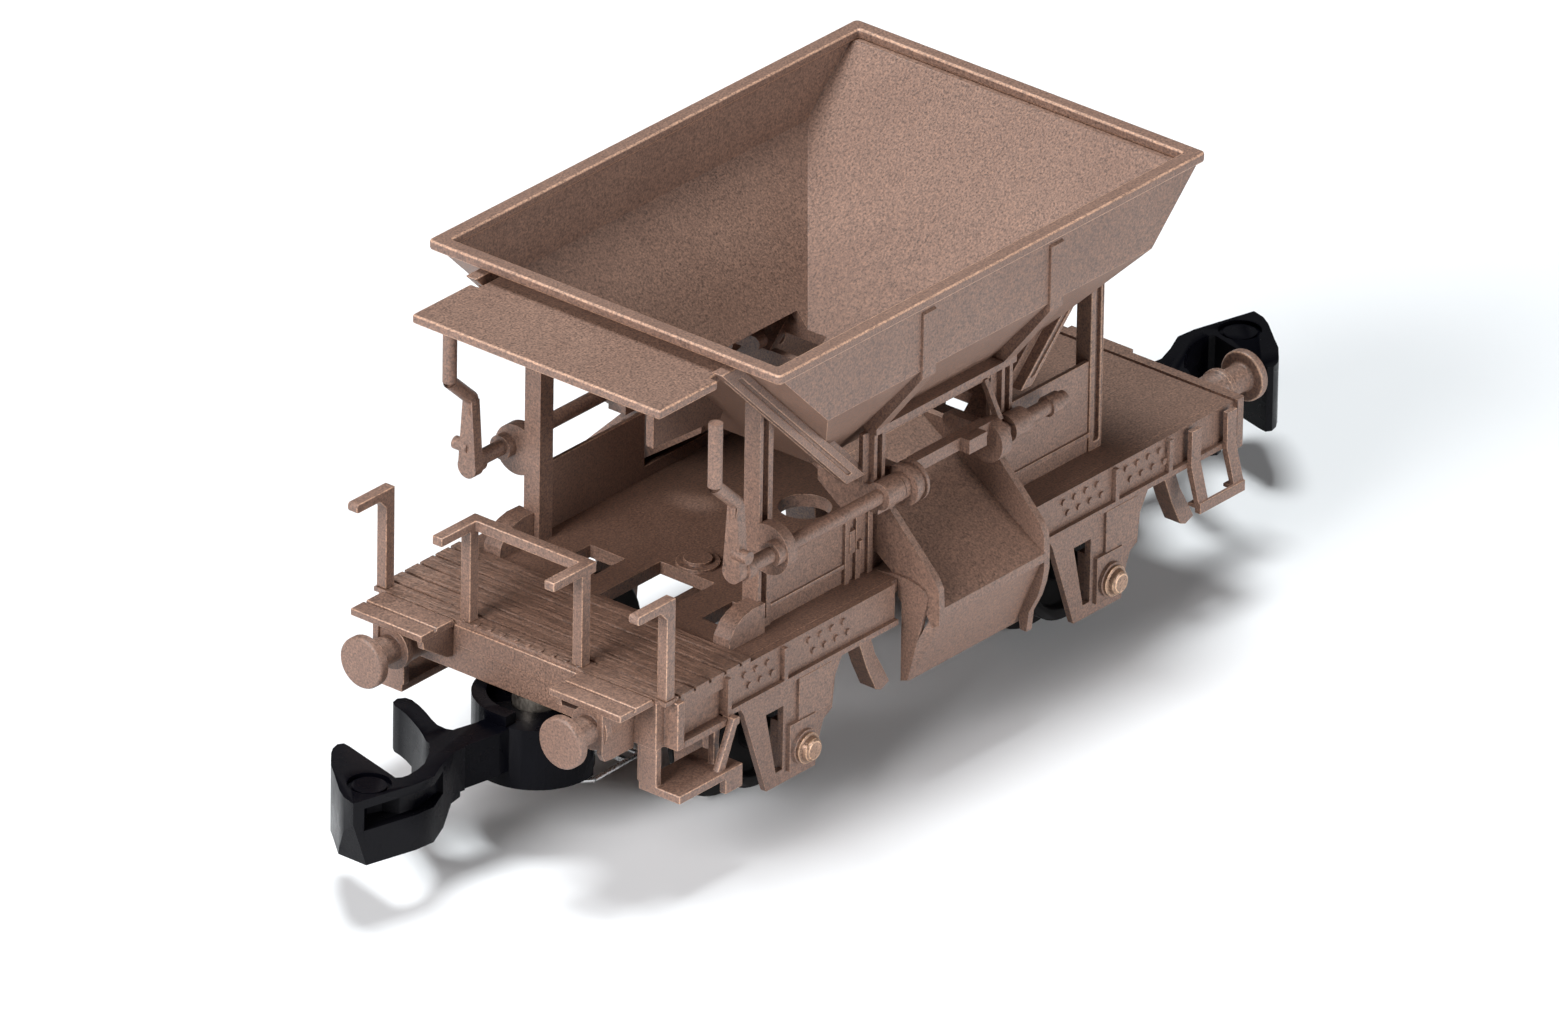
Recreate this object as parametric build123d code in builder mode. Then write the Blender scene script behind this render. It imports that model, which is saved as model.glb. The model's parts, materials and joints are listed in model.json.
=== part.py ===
from build123d import *

import os

# Model hopper car, 1:160, nine millimetre gauge, with a brakeman's platform at the front.
#
# Frame: X runs along the track with the platform end at -X, Y runs across it and Z points up.
# The origin lies under the middle of the car, level with the lowest point of the wheel flanges.
# Every height in the names below is measured from the rail top, which lies RAIL_TOP above Z = 0.
# "right" is the -Y side and "left" the +Y side, as seen by someone who looks forward along -X.

os.makedirs("parts", exist_ok=True)

# ---------------------------------------------------------------- driving dimensions, mm
RAIL_TOP = 0.9            # flange height, so the rail top lies this far above Z = 0

# running gear
AXLE_FRONT = -10.34
AXLE_REAR = 9.98
AXLE_H = 2.8              # wheel tread radius
FLANGE_R = 3.7
BACK_TO_BACK = 7.4
WHEEL_W = 2.15
AXLE_R = 0.5
JOURNAL_R = 0.3
JOURNAL_FIT = 0.03        # radial running clearance of the journals

# underframe
FRAME_FRONT = 18.2        # front end of the deck and sole bars
FRAME_REAR = 18.35        # rear end of the deck and sole bars
STOCK_FRONT = 18.65       # front face of the front headstock at the sole bars
BEAM_FRONT = 19.2         # front face of its deeper middle beam
STOCK_REAR = 18.85        # rear face of the rear headstock
STOCK_FOOT = 5.68         # lower edge of both headstocks
DECK_HALF = 7.6
DECK_Z0 = 7.3
DECK_Z1 = 7.9
SOLE_Y = 8.0              # outer face of the sole bar web
SOLE_LIP = 8.22           # outer edge of the sole bar flange
SOLE_Z0 = 6.05
CHUTE_GAP = 4.25          # half length of the break in the sole bars at the chutes

# platform
PLANK_T = 0.2
PLANK_PITCH = 0.99
PLANK_GROOVE = 0.16
PAD_X = 21.4
PAD_Y0 = 3.5
PAD_Y1 = 7.4
RAIL_H = 12.78            # top of the handrails

# hopper
RIM_X = 14.045
RIM_Y = 9.605
RIM_Z1 = 21.9
RIM_T = 0.45
RIM_W = 0.72
END_X = 13.62             # end wall outer face under the rim
END_SLOPE = 1.01          # inward run of the end walls for each millimetre down
SIDE_Y = 9.465            # side wall outer face
KNEE_Z = 18.54
SIDE_SLOPE = 0.854        # inward run of the lower side walls for each millimetre down
WINDOW_X = 4.2            # outlet windows at the foot of both side walls
WINDOW_Z = 13.37
HOPPER_Z0 = 11.63
WALL = 0.4
FIN_Y = 6.44              # half width of the end walls below the hopper sides

# discharge chutes
CHUTE_X = 3.65            # outer faces of the cheeks
CHUTE_Y = 9.94            # outer end of the chute plates
CHUTE_Z = 7.07
CHUTE_SLOPE = 0.64
CHUTE_T = 0.4
APRON_Y = 8.45            # lower edge of the apron that hangs from each plate
APRON_Z = 3.28
SADDLE_Y = 3.2

# posts, shafts and levers
POST_X = 10.95
POST_Y = 6.0
POST_W = 0.86
DISC_R = 1.15             # bearing disc on each front post
DISC_Y = 6.9
SHAFT_Y = 7.4
SHAFT_H = 12.0
SHAFT_R = 0.34
LEVER_X = 13.9
LEVER_T = 0.5
GRIP_X = 15.3             # upright grip of the lever
GRIP_R = 0.31

# buffers
BUFFER_Y = 5.45
BUFFER_H = 6.8
FACE_FRONT = 23.0
FACE_REAR = 22.5
HEAD_R = 1.16

# couplers
PIVOT_X = 18.05
PIN_R = 1.02
PIN_FIT = 0.05
WIRE_R = 0.11             # centring spring wire
RING_R = 2.5              # ring of the coupler around its pivot
BARREL_R = 2.73           # outer half of the ring, which is a little larger
BARREL_Z0 = 2.2
COUP_Z0 = 3.0
COUP_Z1 = 5.0


# ---------------------------------------------------------------- helpers
def up(h):
    """Height above the rail top as a Z coordinate."""
    return RAIL_TOP + h


def end_wall_x(h):
    """Outer face of the end walls at height h."""
    return END_X - (RIM_Z1 - RIM_T - h) * END_SLOPE


def side_wall_y(h):
    """Outer face of the side walls at height h."""
    return SIDE_Y - max(0.0, KNEE_Z - h) * SIDE_SLOPE


def chute_h(y):
    """Upper face of the chute plates at distance y from the centre line."""
    return CHUTE_Z + (CHUTE_Y - y) * CHUTE_SLOPE


def block(x0, x1, y0, y1, h0, h1, mode=Mode.ADD):
    """Upright block between two corners, heights above the rail top."""
    with Locations(((x0 + x1) / 2, (y0 + y1) / 2, up((h0 + h1) / 2))):
        Box(abs(x1 - x0), abs(y1 - y0), abs(h1 - h0), mode=mode)


def side_plate(points, y0, y1, mode=Mode.ADD):
    """Plate with an outline of (x, height) points between two Y positions."""
    plane = Plane(origin=(0, max(y0, y1), RAIL_TOP), x_dir=(1, 0, 0), z_dir=(0, -1, 0))
    with BuildSketch(plane) as outline:
        with BuildLine():
            Polyline(*points, close=True)
        make_face()
    extrude(outline.sketch, amount=abs(y1 - y0), mode=mode)


def cross_plate(points, x0, x1, mode=Mode.ADD):
    """Plate with an outline of (y, height) points between two X positions."""
    plane = Plane(origin=(min(x0, x1), 0, RAIL_TOP), x_dir=(0, 1, 0), z_dir=(1, 0, 0))
    with BuildSketch(plane) as outline:
        with BuildLine():
            Polyline(*points, close=True)
        make_face()
    extrude(outline.sketch, amount=abs(x1 - x0), mode=mode)


def flat_plate(points, h0, h1, mode=Mode.ADD):
    """Plate with an outline of (x, y) points between two heights."""
    with BuildSketch(Plane.XY.offset(up(h0))) as outline:
        with BuildLine():
            Polyline(*points, close=True)
        make_face()
    extrude(outline.sketch, amount=h1 - h0, mode=mode)


def rod_x(x0, x1, y, h, radius, mode=Mode.ADD):
    """Round bar along X."""
    with BuildSketch(Plane(origin=(min(x0, x1), y, up(h)), x_dir=(0, 1, 0), z_dir=(1, 0, 0))) as disc:
        Circle(radius)
    extrude(disc.sketch, amount=abs(x1 - x0), mode=mode)


def rod_y(x, y0, y1, h, radius, mode=Mode.ADD):
    """Round bar along Y."""
    plane = Plane(origin=(x, max(y0, y1), up(h)), x_dir=(1, 0, 0), z_dir=(0, -1, 0))
    with BuildSketch(plane) as disc:
        Circle(radius)
    extrude(disc.sketch, amount=abs(y1 - y0), mode=mode)


def rod_z(x, y, h0, h1, radius, mode=Mode.ADD):
    """Upright round bar."""
    with BuildSketch(Plane.XY.offset(up(h0))) as disc:
        with Locations((x, y)):
            Circle(radius)
    extrude(disc.sketch, amount=h1 - h0, mode=mode)


def save(builder, label):
    """Name a finished piece and write its STEP file."""
    builder.part.label = label
    export_step(builder.part, f"parts/{label}.step")


# ---------------------------------------------------------------- underframe
with BuildPart() as deck:
    block(-FRAME_FRONT, FRAME_REAR, -DECK_HALF, DECK_HALF, DECK_Z0, DECK_Z1)
    block(-11.9, -10.0, 2.0, 3.9, DECK_Z0, DECK_Z1, Mode.SUBTRACT)
    block(-13.2, -9.2, -2.3, 0.7, DECK_Z0, DECK_Z1, Mode.SUBTRACT)
    block(-12.0, -10.0, -4.8, -3.9, DECK_Z0, DECK_Z1, Mode.SUBTRACT)
    block(10.0, 12.0, -3.4, 3.4, DECK_Z0, DECK_Z1, Mode.SUBTRACT)
    rod_z(-1.3, -0.6, DECK_Z0, DECK_Z1, 1.15, Mode.SUBTRACT)
    rod_z(-8.3, -0.6, DECK_Z1, DECK_Z1 + 0.15, 0.95)
    rod_z(-8.3, -0.6, DECK_Z1 + 0.15, DECK_Z1 + 0.3, 0.62)
save(deck, "deck")


def make_sole_bar(side):
    """Sole bar with a flanged foot, deeper under the platform and broken at the chute."""
    with BuildPart() as bar:
        inner = side * DECK_HALF
        web = side * SOLE_Y
        lip = side * SOLE_LIP
        join = side * (DECK_HALF + 0.16)
        block(-CHUTE_GAP, CHUTE_GAP, inner, join, DECK_Z0, DECK_Z1)
        block(-15.4, -CHUTE_GAP, inner, web, SOLE_Z0, DECK_Z1)
        block(-15.4, -CHUTE_GAP, web, lip, SOLE_Z0, SOLE_Z0 + 0.25)
        block(CHUTE_GAP, FRAME_REAR, inner, web, SOLE_Z0, DECK_Z1)
        block(CHUTE_GAP, FRAME_REAR, web, lip, SOLE_Z0, SOLE_Z0 + 0.25)
        block(-FRAME_FRONT, -15.4, inner, side * (SOLE_Y - 0.25), STOCK_FOOT, DECK_Z1)
        block(-FRAME_FRONT, -15.4, side * (SOLE_Y - 0.25), lip, STOCK_FOOT, 5.98)
        block(-FRAME_FRONT, -15.4, side * (SOLE_Y - 0.25), web, 7.35, DECK_Z1)
        for x in (-15.28, -11.6, 10.3, 13.9):
            block(x - 0.12, x + 0.12, web, lip, SOLE_Z0 + 0.25, DECK_Z1 - 0.1)
        for first, count in ((-14.1, 3), (-9.9, 4), (6.9, 4), (11.1, 4)):
            for n in range(count):
                rod_y(first + 0.75 * n, web, side * (SOLE_Y + 0.1), 7.45, 0.15)
                rod_y(first + 0.3 + 0.75 * n, web, side * (SOLE_Y + 0.1), 6.85, 0.15)
    return bar


save(make_sole_bar(-1), "sole_bar_right")
save(make_sole_bar(1), "sole_bar_left")

with BuildPart() as headstock_front:
    block(-STOCK_FRONT, -FRAME_FRONT, -SOLE_LIP, SOLE_LIP, STOCK_FOOT, DECK_Z1)
    block(-BEAM_FRONT, -STOCK_FRONT, -PAD_Y1 - 0.1, PAD_Y1 + 0.1, STOCK_FOOT, DECK_Z1)
    block(-BEAM_FRONT - 0.1, -BEAM_FRONT, -PAD_Y0, PAD_Y0, 6.95, DECK_Z1)
    rod_z(-PIVOT_X, 0, STOCK_FOOT, DECK_Z0, PIN_R, Mode.SUBTRACT)
save(headstock_front, "headstock_front")

with BuildPart() as headstock_rear:
    block(FRAME_REAR, STOCK_REAR, -SOLE_LIP, SOLE_LIP, STOCK_FOOT, DECK_Z1 + 0.12)
    fillet(headstock_rear.edges().filter_by(Axis.Z).group_by(Axis.X)[-1], 0.15)
    for y in (-6.9, -4.2, 4.2, 6.9):
        for h in (6.1, 7.2):
            rod_x(STOCK_REAR, STOCK_REAR + 0.1, y, h, 0.14)
    block(STOCK_REAR, STOCK_REAR + 0.45, -1.7, 1.7, STOCK_FOOT, DECK_Z1)
    rod_z(PIVOT_X, 0, STOCK_FOOT, DECK_Z0, PIN_R, Mode.SUBTRACT)
save(headstock_rear, "headstock_rear")

# ---------------------------------------------------------------- platform
with BuildPart() as plank_platform:
    block(-BEAM_FRONT, -13.7, -8.0, 8.0, DECK_Z1, DECK_Z1 + 0.04)
    x = -BEAM_FRONT
    while x < -13.9:
        block(x, min(x + PLANK_PITCH - PLANK_GROOVE, -13.7), -8.0, 8.0, DECK_Z1 + 0.04, DECK_Z1 + PLANK_T)
        x += PLANK_PITCH
    for n in range(10):
        rod_z(-BEAM_FRONT + 0.16, -3.15 + 0.7 * n, DECK_Z1 + PLANK_T, DECK_Z1 + PLANK_T + 0.08, 0.13)
save(plank_platform, "plank_platform")


def make_pad(side):
    """Step pad over a buffer: a thick plate with a gusset on its inner edge."""
    with BuildPart() as pad:
        y0 = side * PAD_Y0
        y1 = side * PAD_Y1
        block(-PAD_X, -BEAM_FRONT, y0, y1, 7.8, 8.0)
        block(-PAD_X, -PAD_X + 0.85, y0, y1, 8.0, 8.13)
        block(-PAD_X + 1.0, -BEAM_FRONT - 0.12, y0, y1, 8.0, 8.13)
        side_plate([(-PAD_X + 0.2, 7.8), (-PAD_X + 0.3, 7.35), (-BEAM_FRONT - 0.4, 6.4),
                    (-BEAM_FRONT, 6.3), (-BEAM_FRONT, 7.8)], side * (PAD_Y0 + 0.1), side * (PAD_Y0 + 0.45))
    return pad


save(make_pad(-1), "buffer_pad_right")
save(make_pad(1), "buffer_pad_left")


def make_outer_handrail(side):
    """Corner handrail: an upright on the planks with a grip reaching forward."""
    with BuildPart() as rail:
        y0 = side * 7.42
        y1 = side * 7.95
        block(-19.1, -18.55, y0, y1, DECK_Z1 + PLANK_T, RAIL_H)
        block(-21.0, -19.1, y0, y1, RAIL_H - 0.42, RAIL_H)
        side_plate([(-19.1, RAIL_H - 0.42), (-19.1, RAIL_H - 0.85), (-19.5, RAIL_H - 0.42)], y0, y1)
        fillet(rail.edges().filter_by(Axis.Y).group_by(Axis.X)[0], 0.15)
    return rail


save(make_outer_handrail(-1), "handrail_right")
save(make_outer_handrail(1), "handrail_left")

with BuildPart() as handrail_middle:
    for side in (-1, 1):
        block(-19.1, -18.55, side * 2.8, side * 3.33, DECK_Z1 + PLANK_T, RAIL_H)
        block(-20.95, -19.1, side * 2.8, side * 3.33, RAIL_H - 0.42, RAIL_H)
    block(-18.75, -18.2, -2.8, 2.8, RAIL_H - 0.5, RAIL_H)
    block(-18.55, -18.2, -3.33, 3.33, RAIL_H - 0.5, RAIL_H)
save(handrail_middle, "handrail_middle")

# ---------------------------------------------------------------- canopy over the platform
with BuildPart() as canopy:
    block(-18.37, -14.6, -6.75, 6.75, 20.56, 20.98)
    fillet(canopy.edges().filter_by(Axis.Z).group_by(Axis.X)[0], 0.12)
    side_plate([(-14.6, 20.56), (-14.6, 20.98), (-end_wall_x(20.98), 20.98), (-end_wall_x(20.56), 20.56)],
               -6.3, 6.3)
save(canopy, "canopy")

# ---------------------------------------------------------------- hopper
TOP = RIM_Z1 - RIM_T
with BuildPart() as hopper_tub:
    cross_plate([(-SIDE_Y, TOP), (-SIDE_Y, KNEE_Z), (-side_wall_y(HOPPER_Z0), HOPPER_Z0),
                 (side_wall_y(HOPPER_Z0), HOPPER_Z0), (SIDE_Y, KNEE_Z), (SIDE_Y, TOP)], -END_X, END_X)
    side_plate([(-END_X, TOP), (-end_wall_x(HOPPER_Z0), HOPPER_Z0), (end_wall_x(HOPPER_Z0), HOPPER_Z0),
                (END_X, TOP)], -SIDE_Y, SIDE_Y, Mode.INTERSECT)
    for end in (-1, 1):
        side_plate([(end * 10.88, 18.7), (end * 10.88, 14.17), (end * 6.5, 13.9), (end * 6.2, 14.3),
                    (end * (end_wall_x(18.7) - 0.2), 18.7)], -0.2, 0.2)
        fin_top = 18.4
        side_plate([(end * end_wall_x(fin_top), fin_top), (end * end_wall_x(HOPPER_Z0), HOPPER_Z0),
                    (end * (end_wall_x(HOPPER_Z0) - 0.55), HOPPER_Z0),
                    (end * (end_wall_x(fin_top) - 0.55), fin_top)], -FIN_Y, FIN_Y)
    with BuildSketch(Plane(origin=(-END_X, 0, RAIL_TOP), x_dir=(0, 1, 0),
                           z_dir=(1, 0, 0))) as inner_cross:
        with BuildLine():
            Polyline((-SIDE_Y + WALL, TOP), (-SIDE_Y + WALL, KNEE_Z + 0.1),
                     (-side_wall_y(HOPPER_Z0) + 0.55, HOPPER_Z0),
                     (side_wall_y(HOPPER_Z0) - 0.55, HOPPER_Z0),
                     (SIDE_Y - WALL, KNEE_Z + 0.1), (SIDE_Y - WALL, TOP), close=True)
        make_face()
    with BuildSketch(Plane(origin=(0, SIDE_Y, RAIL_TOP), x_dir=(1, 0, 0),
                           z_dir=(0, -1, 0))) as inner_long:
        with BuildLine():
            Polyline((-END_X + 0.55, TOP), (-end_wall_x(HOPPER_Z0) + 0.55, HOPPER_Z0),
                     (end_wall_x(HOPPER_Z0) - 0.55, HOPPER_Z0), (END_X - 0.55, TOP), close=True)
        make_face()
    hollow_a = extrude(inner_cross.sketch, amount=2 * END_X, mode=Mode.PRIVATE)
    hollow_b = extrude(inner_long.sketch, amount=2 * SIDE_Y, mode=Mode.PRIVATE)
    add(hollow_a & hollow_b, mode=Mode.SUBTRACT)
    for side in (-1, 1):
        block(-WINDOW_X, WINDOW_X, side * 2.9, side * 5.15, HOPPER_Z0, WINDOW_Z, Mode.SUBTRACT)
save(hopper_tub, "hopper_tub")

with BuildPart() as hopper_rim:
    block(-RIM_X, RIM_X, -RIM_Y, RIM_Y, TOP, RIM_Z1)
    block(-RIM_X + RIM_W, RIM_X - RIM_W, -RIM_Y + RIM_W, RIM_Y - RIM_W, TOP, RIM_Z1, Mode.SUBTRACT)
    fillet(hopper_rim.edges().filter_by(Axis.Z).group_by(Axis.X)[0], 0.25)
    fillet(hopper_rim.edges().filter_by(Axis.Z).group_by(Axis.X)[-1], 0.25)
save(hopper_rim, "hopper_rim")


def make_end_channel(end, side):
    """Channel along the outer edge of a sloping end wall."""
    with BuildPart() as channel:
        high = 21.3
        low = 13.05
        outer = 1.2 if end < 0 else 0.7
        y0 = side * FIN_Y
        y1 = side * (FIN_Y + 0.56)
        side_plate([(end * end_wall_x(high), high), (end * end_wall_x(low), low),
                    (end * (end_wall_x(low) + outer), low), (end * (end_wall_x(high) + outer), high)],
                   y0, y1)
        side_plate([(end * (end_wall_x(high - 0.6) + outer - 0.25), high - 0.6),
                    (end * (end_wall_x(low + 0.4) + outer - 0.25), low + 0.4),
                    (end * (end_wall_x(low + 0.4) + outer), low + 0.4),
                    (end * (end_wall_x(high - 0.6) + outer), high - 0.6)],
                   side * (FIN_Y + 0.16), side * (FIN_Y + 0.4), Mode.SUBTRACT)
        side_plate([(end * (end_wall_x(high - 0.6) + outer * 0.5 - 0.12), high - 0.6),
                    (end * (end_wall_x(low + 0.4) + outer * 0.5 - 0.12), low + 0.4),
                    (end * (end_wall_x(low + 0.4) + outer * 0.5 + 0.12), low + 0.4),
                    (end * (end_wall_x(high - 0.6) + outer * 0.5 + 0.12), high - 0.6)],
                   side * (FIN_Y + 0.44), side * (FIN_Y + 0.56), Mode.SUBTRACT)
    return channel


for end, end_name in ((-1, "front"), (1, "rear")):
    for side, side_name in ((-1, "right"), (1, "left")):
        save(make_end_channel(end, side), f"end_channel_{end_name}_{side_name}")

# ---------------------------------------------------------------- saddle and chutes
with BuildPart() as saddle:
    top = chute_h(SADDLE_Y)
    cross_plate([(-SADDLE_Y, top), (-0.5, chute_h(0.5)), (0.0, chute_h(0.35)), (0.5, chute_h(0.5)),
                 (SADDLE_Y, top), (SADDLE_Y, top - CHUTE_T), (0, chute_h(0) - 0.8),
                 (-SADDLE_Y, top - CHUTE_T)],
                -CHUTE_X + 0.4, CHUTE_X - 0.4)
save(saddle, "saddle")


def make_chute(side):
    """Sloping discharge plate with two cheeks, an apron that leans inward and an arched front bracket."""
    front = -CHUTE_X - 0.15
    with BuildPart() as chute:
        cross_plate([(side * CHUTE_Y, CHUTE_Z), (side * APRON_Y, APRON_Z),
                     (side * (APRON_Y - 0.35), APRON_Z),
                     (side * (CHUTE_Y - 0.45), CHUTE_Z - 0.2)], front, CHUTE_X)
        corner = Vector(front, side * (APRON_Y - 0.05), up(APRON_Z))
        along = Vector(0, side * 0.71, 2.98)
        across = Vector(0.6, side * 0.3, -0.3)
        outward = along.cross(across) * side
        with BuildSketch(Plane(origin=corner, x_dir=along, z_dir=outward)) as cut:
            Rectangle(12, 12)
        extrude(cut.sketch, amount=2, mode=Mode.SUBTRACT)
        cross_plate([(side * SADDLE_Y, chute_h(SADDLE_Y)), (side * CHUTE_Y, CHUTE_Z),
                     (side * CHUTE_Y, CHUTE_Z - CHUTE_T), (side * SADDLE_Y, chute_h(SADDLE_Y) - CHUTE_T)],
                    -CHUTE_X, CHUTE_X)
        top = [(side * SADDLE_Y, chute_h(SADDLE_Y) - CHUTE_T), (side * SADDLE_Y, HOPPER_Z0 - 0.05),
               (side * 6.4, HOPPER_Z0 - 0.05), (side * 6.45, 12.1), (side * 6.7, 12.1),
               (side * 7.2, 10.85),
               (side * 9.6, 8.45), (side * 9.88, 7.95), (side * CHUTE_Y, CHUTE_Z)]
        cross_plate(top + [(side * CHUTE_Y, 6.35), (side * 9.55, 6.1), (side * 9.2, CHUTE_Z - CHUTE_T)],
                    -CHUTE_X, -CHUTE_X + 0.35)
        cross_plate(top + [(side * CHUTE_Y, 6.3), (side * 9.82, 5.6), (side * 9.6, 4.9),
                           (side * 9.15, 4.0),
                           (side * 9.05, 3.05), (side * 8.7, 3.05), (side * 8.5, 4.0),
                           (side * 9.2, CHUTE_Z - CHUTE_T)],
                    CHUTE_X - 0.35, CHUTE_X)
        cross_plate([(side * 6.45, DECK_Z1), (side * 7.0, 7.96), (side * 7.6, 8.05), (side * 8.2, 8.05),
                     (side * 8.8, 7.96), (side * 9.16, 7.78), (side * 9.35, 7.45), (side * 9.3, 6.99),
                     (side * 9.11, 6.25), (side * (APRON_Y - 0.05), APRON_Z), (side * 8.02, 3.15),
                     (side * 8.0, 6.8), (side * 7.79, 7.1), (side * 7.79, DECK_Z1)], front,
                    -CHUTE_X + 0.1)
    return chute


save(make_chute(-1), "chute_right")
save(make_chute(1), "chute_left")

# ---------------------------------------------------------------- posts, sheets and flap gear
def make_post(end, side):
    """Channel post from the deck to the end wall; the front ones carry a shaft bearing."""
    with BuildPart() as post:
        x0 = end * (POST_X - POST_W / 2)
        x1 = end * (POST_X + POST_W / 2)
        y0 = side * (POST_Y - POST_W / 2)
        y1 = side * (POST_Y + POST_W / 2)
        low_top = KNEE_Z + (POST_X - POST_W / 2 - end_wall_x(KNEE_Z)) / END_SLOPE - 0.02
        side_plate([(x0, DECK_Z1), (x1, DECK_Z1), (x1, low_top), (x0, low_top)], y0, y1)
        side_plate([(x0 + end * 0.3, DECK_Z1 + 0.4), (x1 - end * 0.2, DECK_Z1 + 0.4),
                    (x1 - end * 0.2, low_top - 0.5), (x0 + end * 0.3, low_top - 0.5)],
                   y1 - side * 0.28, y1, Mode.SUBTRACT)
        if end < 0:
            rod_x(x1, x1 + 0.58, side * DISC_Y, SHAFT_H - 0.1, DISC_R)
            rod_x(x1 - 0.45, x1, side * SHAFT_Y, SHAFT_H, 0.55)
            rod_x(x1 - 0.45, x0, side * SHAFT_Y, SHAFT_H, SHAFT_R, Mode.SUBTRACT)
            side_plate([(x1 + 0.1, DECK_Z1), (x1 + 0.1, 9.3), (-12.1, 9.33), (-12.7, 9.2), (-13.2, 8.9),
                        (-13.55, 8.4), (-13.6, DECK_Z1)], side * 5.85, side * 6.75)
    return post


for end, end_name in ((-1, "front"), (1, "rear")):
    for side, side_name in ((-1, "right"), (1, "left")):
        save(make_post(end, side), f"post_{end_name}_{side_name}")


def make_sheets(side):
    """Front and rear side sheets under the hopper, joined by a strip along the deck."""
    with BuildPart() as sheets:
        y0 = side * 6.1
        y1 = side * 6.32
        inner = POST_X - POST_W / 2
        front_edge = -CHUTE_X - 0.2
        rear_edge = CHUTE_X + 0.05
        side_plate([(-inner, DECK_Z1), (front_edge, DECK_Z1), (front_edge, 11.1), (-inner, 11.1)], y0, y1)
        side_plate([(inner, DECK_Z1), (rear_edge, DECK_Z1), (rear_edge, 11.5), (5.2, 12.2),
                    (inner, 12.2)], y0, y1)
        side_plate([(front_edge, DECK_Z1), (rear_edge, DECK_Z1), (rear_edge, 8.5), (front_edge, 8.5)],
                   y0, y1)
        for x in (-5.6, -4.9, -4.1):
            block(x - 0.15, x + 0.15, y1, side * 6.5, DECK_Z1, 11.0)
        block(-inner, -5.75, y1, side * 6.45, 8.65, 8.85)
        block(4.2, inner, y1, side * 6.45, 8.65, 8.85)
        rod_y(5.1, y0, y1, 11.2, 0.28, Mode.SUBTRACT)
    return sheets


save(make_sheets(-1), "side_sheet_right")
save(make_sheets(1), "side_sheet_left")


def make_hanger(side):
    """Ribs down one hopper side, the rail at their feet, a strut and the shaft bearings."""
    with BuildPart() as hanger:
        for x in (-4.2, 4.2):
            cross_plate([(side * SIDE_Y, 21.3), (side * (SIDE_Y + 0.12), 21.2),
                         (side * (SIDE_Y + 0.12), 18.9),
                         (side * (SIDE_Y + 0.1), 18.2), (side * 7.15, 15.02),
                         (side * side_wall_y(15.02), 15.02), (side * SIDE_Y, KNEE_Z)], x - 0.42, x + 0.42)
        block(-4.62, 4.62, side * 6.45, side * 7.15, 14.72, 15.02)
        block(-4.62, 4.62, side * 6.45, side * 6.65, 14.2, 14.72)
        cross_plate([(side * 6.45, 14.3), (side * 6.75, 14.3), (side * 7.6, 12.7),
                     (side * 7.3, 12.6)], 3.0, 3.25)
        for x in (-4.2, 4.2):
            block(x - 0.72, x + 0.42, side * 6.45, side * 6.68, 12.4, 14.72)
            block(x - 0.3, x - 0.1, side * 6.68, side * 6.95, 12.4, 14.72)
            block(x + 0.22, x + 0.42, side * 6.68, side * 6.95, 12.4, 14.72)
            block(x - 0.55, x + 0.55, side * 6.45, side * SHAFT_Y, SHAFT_H - 0.85, 12.4)
            rod_x(x - 0.55, x + 0.55, side * SHAFT_Y, SHAFT_H, 0.62)
            rod_x(x - 0.55, x + 0.55, side * SHAFT_Y, SHAFT_H, SHAFT_R, Mode.SUBTRACT)
    return hanger


save(make_hanger(-1), "side_bracing_right")
save(make_hanger(1), "side_bracing_left")


def make_shaft(side):
    """Flap shaft in two lengths, joined over the chute mouth by two cams and a stepped lifting bar."""
    with BuildPart() as shaft:
        bar_y = side * (SHAFT_Y + 0.2)
        rod_x(-LEVER_X + LEVER_T / 2 - 0.05, -3.2, side * SHAFT_Y, SHAFT_H, SHAFT_R)
        rod_x(-3.6, -3.2, side * SHAFT_Y, SHAFT_H, 0.6)
        rod_x(-3.25, -2.95, side * SHAFT_Y, SHAFT_H - 0.05, 0.93)
        rod_x(-2.95, -2.6, side * SHAFT_Y, SHAFT_H - 0.05, 0.8)
        rod_x(-2.6, -2.45, side * SHAFT_Y, SHAFT_H - 0.05, 0.93)
        block(-2.5, 2.4, side * (SHAFT_Y - 0.35), bar_y, SHAFT_H + 0.3, SHAFT_H + 0.88)
        block(0.4, 1.55, bar_y, side * (SHAFT_Y + 0.7), SHAFT_H + 0.25, SHAFT_H + 0.9)
        rod_x(2.3, 2.95, side * SHAFT_Y, SHAFT_H - 0.1, 0.95)
        rod_x(2.9, 7.5, side * SHAFT_Y, SHAFT_H, SHAFT_R)
        rod_x(6.35, 7.1, side * SHAFT_Y, SHAFT_H, 0.46)
        for x in (-3.2, 2.35):
            block(x, x + 0.55, side * 5.35, side * SHAFT_Y, SHAFT_H - 0.1, SHAFT_H + 0.55)
            rod_x(x, x + 0.55, side * 5.35, SHAFT_H + 0.225, 0.325)
    return shaft


save(make_shaft(-1), "flap_shaft_right")
save(make_shaft(1), "flap_shaft_left")


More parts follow.
